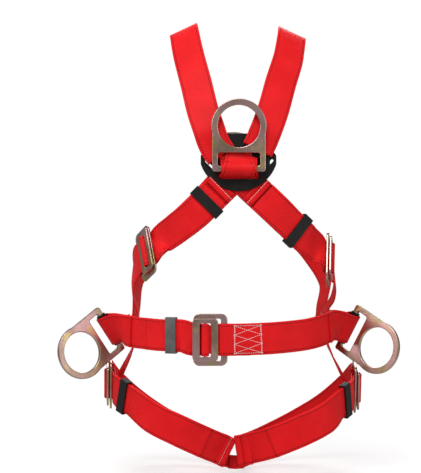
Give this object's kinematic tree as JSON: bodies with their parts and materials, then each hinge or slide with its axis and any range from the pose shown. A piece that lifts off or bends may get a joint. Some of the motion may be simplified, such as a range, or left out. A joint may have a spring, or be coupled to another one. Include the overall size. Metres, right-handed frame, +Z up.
{
  "type": "safety harness",
  "caption": "Full-body safety harness of flat webbing with a waist belt, leg straps, pass-through buckles, sliding keepers and swinging connection rings on plastic plates.",
  "frame": {"origin": "on the wearer's vertical axis, at the mid-height of the waist belt's front", "axes": "+Z up along the wearer, -Y the way the wearer faces, +X to the right of someone looking at the wearer's front"},
  "size_m": [0.4925, 0.3456, 0.6614],
  "materials": {
    "webbing": "woven polyester webbing, satin sheen",
    "zinc_steel": "yellow zinc plated steel, faint rainbow tint",
    "black_plastic": "moulded black plastic, satin",
    "belt_keeper_plastic": "dark grey elastic-look plastic, matt"
  },
  "bodies": {
    "webbing": {"belt_buckle_female": "zinc_steel", "left_torso_buckle_female": "zinc_steel", "right_torso_buckle_female": "zinc_steel", "left_leg_buckle_female": "zinc_steel", "right_leg_buckle_female": "zinc_steel", "chest_plate": "black_plastic", "dorsal_plate": "black_plastic", "left_ring_sleeve": "black_plastic", "right_ring_sleeve": "black_plastic", "left_shoulder_strap": "webbing", "right_shoulder_strap": "webbing", "chest_crossing_webbing": "webbing", "dorsal_crossing_webbing": "webbing", "left_chest_strap": "webbing", "right_chest_strap": "webbing", "left_side_strap": "webbing", "right_side_strap": "webbing", "left_back_strap": "webbing", "right_back_strap": "webbing", "belt_left": "webbing", "belt_right": "webbing", "belt_back": "webbing", "left_ring_loop": "webbing", "right_ring_loop": "webbing", "left_leg_strap": "webbing", "right_leg_strap": "webbing", "left_thigh_strap": "webbing", "right_thigh_strap": "webbing", "crotch_link": "webbing"},
    "chest_ring": {"chest_ring": "zinc_steel"},
    "dorsal_ring": {"dorsal_ring": "zinc_steel"},
    "left_side_ring": {"left_side_ring": "zinc_steel"},
    "right_side_ring": {"right_side_ring": "zinc_steel"},
    "belt_buckle_male": {"belt_buckle_male": "zinc_steel"},
    "left_torso_buckle_male": {"left_torso_buckle_male": "zinc_steel"},
    "right_torso_buckle_male": {"right_torso_buckle_male": "zinc_steel"},
    "left_leg_buckle_male": {"left_leg_buckle_male": "zinc_steel"},
    "right_leg_buckle_male": {"right_leg_buckle_male": "zinc_steel"},
    "belt_keeper": {"belt_keeper": "belt_keeper_plastic"},
    "left_torso_keeper": {"left_torso_keeper": "black_plastic"},
    "right_torso_keeper": {"right_torso_keeper": "black_plastic"},
    "left_leg_keeper": {"left_leg_keeper": "black_plastic"},
    "right_leg_keeper": {"right_leg_keeper": "black_plastic"}
  },
  "joints": [
    {"name": "chest_ring_swing", "type": "hinge", "parent": "webbing", "child": "chest_ring", "pos_m": [0, -0.131, 0.23925], "axis": [1, 0, 0], "range_deg": [0, 150]},
    {"name": "dorsal_ring_swing", "type": "hinge", "parent": "webbing", "child": "dorsal_ring", "pos_m": [0.01, 0.131, 0.251], "axis": [-1, 0, 0], "range_deg": [-45, 90]},
    {"name": "left_side_ring_swing", "type": "hinge", "parent": "webbing", "child": "left_side_ring", "pos_m": [-0.184, -0.016, 0.009], "axis": [0.5212, 0.1841, -0.8333], "range_deg": [-60, 60]},
    {"name": "right_side_ring_swing", "type": "hinge", "parent": "webbing", "child": "right_side_ring", "pos_m": [0.169, -0.01, 0.0104], "axis": [0.4147, -0.2259, 0.8815], "range_deg": [-60, 60]},
    {"name": "belt_buckle_rock", "type": "hinge", "parent": "webbing", "child": "belt_buckle_male", "pos_m": [-0.04676, -0.12597, 0.0005], "axis": [0, 0, 1], "range_deg": [-4, 4]},
    {"name": "left_torso_buckle_rock", "type": "hinge", "parent": "webbing", "child": "left_torso_buckle_male", "pos_m": [-0.13126, -0.07817, 0.1236], "axis": [0.1693, -0.3627, -0.9164], "range_deg": [-4, 4]},
    {"name": "right_torso_buckle_rock", "type": "hinge", "parent": "webbing", "child": "right_torso_buckle_male", "pos_m": [0.13613, -0.06963, 0.11385], "axis": [0.0662, 0.3746, 0.9248], "range_deg": [-4, 4]},
    {"name": "left_leg_buckle_rock", "type": "hinge", "parent": "webbing", "child": "left_leg_buckle_male", "pos_m": [-0.18722, -0.00143, -0.0721], "axis": [-0.014, 0.2793, -0.9601], "range_deg": [-4, 4]},
    {"name": "right_leg_buckle_rock", "type": "hinge", "parent": "webbing", "child": "right_leg_buckle_male", "pos_m": [0.18422, -0.00143, -0.0801], "axis": [-0.014, -0.2793, 0.9601], "range_deg": [-4, 4]},
    {"name": "belt_keeper_slide", "type": "slide", "parent": "webbing", "child": "belt_keeper", "axis": [0.9496, -0.3134, 0], "range_m": [-0.008, 0.008]},
    {"name": "left_torso_keeper_slide", "type": "slide", "parent": "webbing", "child": "left_torso_keeper", "axis": [0.7062, 0.0504, 0.7062], "range_m": [-0.008, 0.008]},
    {"name": "right_torso_keeper_slide", "type": "slide", "parent": "webbing", "child": "right_torso_keeper", "axis": [-0.7078, -0.2653, 0.6547], "range_m": [-0.008, 0.008]},
    {"name": "left_leg_keeper_slide", "type": "slide", "parent": "webbing", "child": "left_leg_keeper", "axis": [0.6252, -0.7059, -0.3328], "range_m": [-0.008, 0.008]},
    {"name": "right_leg_keeper_slide", "type": "slide", "parent": "webbing", "child": "right_leg_keeper", "axis": [-0.5857, -0.7579, -0.2873], "range_m": [-0.008, 0.008]}
  ]
}
